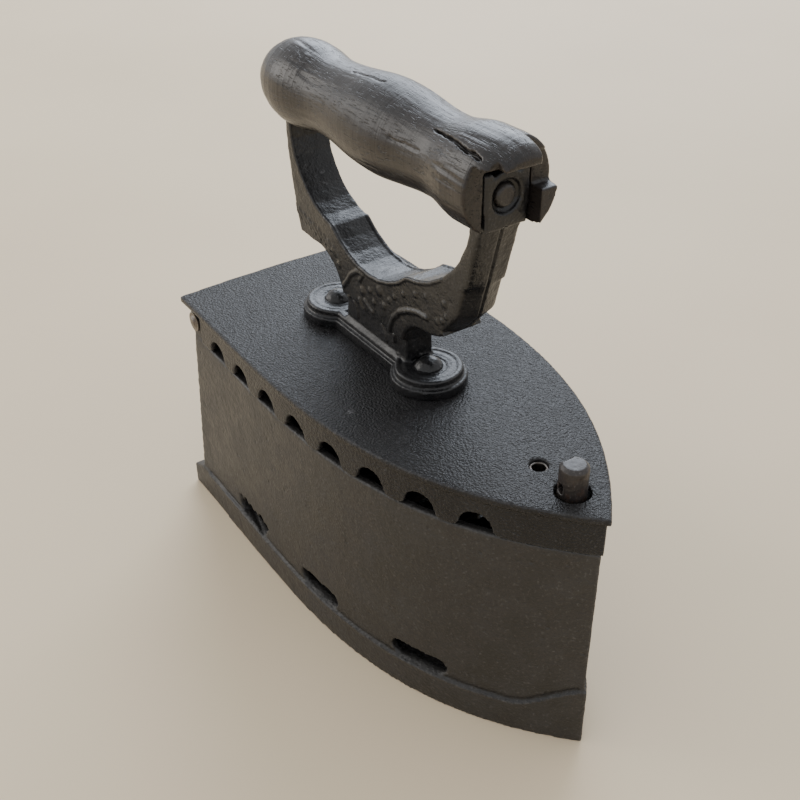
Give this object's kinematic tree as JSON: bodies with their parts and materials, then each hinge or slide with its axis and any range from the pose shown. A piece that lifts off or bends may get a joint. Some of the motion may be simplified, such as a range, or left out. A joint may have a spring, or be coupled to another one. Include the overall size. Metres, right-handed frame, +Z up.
{
  "type": "charcoal clothes iron",
  "caption": "Boat-shaped cast-iron charcoal iron with a hinged, vented lid, low draught slots, a turning latch peg and a turned wooden grip on a cast yoke.",
  "frame": {"origin": "on the sole's working face, under the middle of the whole iron's bounding box", "axes": "+X from the heel to the nose, +Y to the iron's left, +Z up from the sole's working face"},
  "size_m": [0.212, 0.094, 0.2039],
  "materials": {
    "tub_iron": "worn satin black over rough cast iron, pitted",
    "lid_iron": "satin black over cast iron with a fine grain",
    "handle_iron": "glossy black over lumpy cast ornament",
    "grate_iron": "scaled and ashy cast iron",
    "peg_iron": "dark iron browned by rust",
    "rod_iron": "dark browned iron",
    "bare_steel": "dull, oxidised steel",
    "shield_sheet": "heat-tinted sheet steel",
    "grip_wood": "dark stained turned wood, open grain, hand-polished"
  },
  "bodies": {
    "tub": {"body_tub": "tub_iron", "fire_grate": "grate_iron", "hinge_pin": "bare_steel", "hinge_pin_washers": "bare_steel", "peg_washer": "bare_steel", "peg_set_screw": "bare_steel"},
    "lid": {"lid": "lid_iron", "keeper_tongue": "bare_steel", "keeper_rivet": "bare_steel", "heat_shield": "shield_sheet", "shield_spacers": "bare_steel", "rivet_washers": "bare_steel", "foot_rivet_rear": "handle_iron", "foot_rivet_front": "handle_iron", "handle_yoke": "handle_iron", "wooden_grip": "grip_wood", "grip_rod": "rod_iron", "grip_washer": "bare_steel", "grip_nut": "bare_steel"},
    "latch": {"latch_peg": "peg_iron"}
  },
  "joints": [
    {"name": "lid_hinge", "type": "hinge", "parent": "tub", "child": "lid", "pos_m": [-0.0863, 0, 0.093], "axis": [0, -1, 0], "range_deg": [0, 105]},
    {"name": "latch_turn", "type": "hinge", "parent": "tub", "child": "latch", "pos_m": [0.0885, 0, 0.086], "axis": [0, 0, 1], "range_deg": [0, 90]}
  ]
}
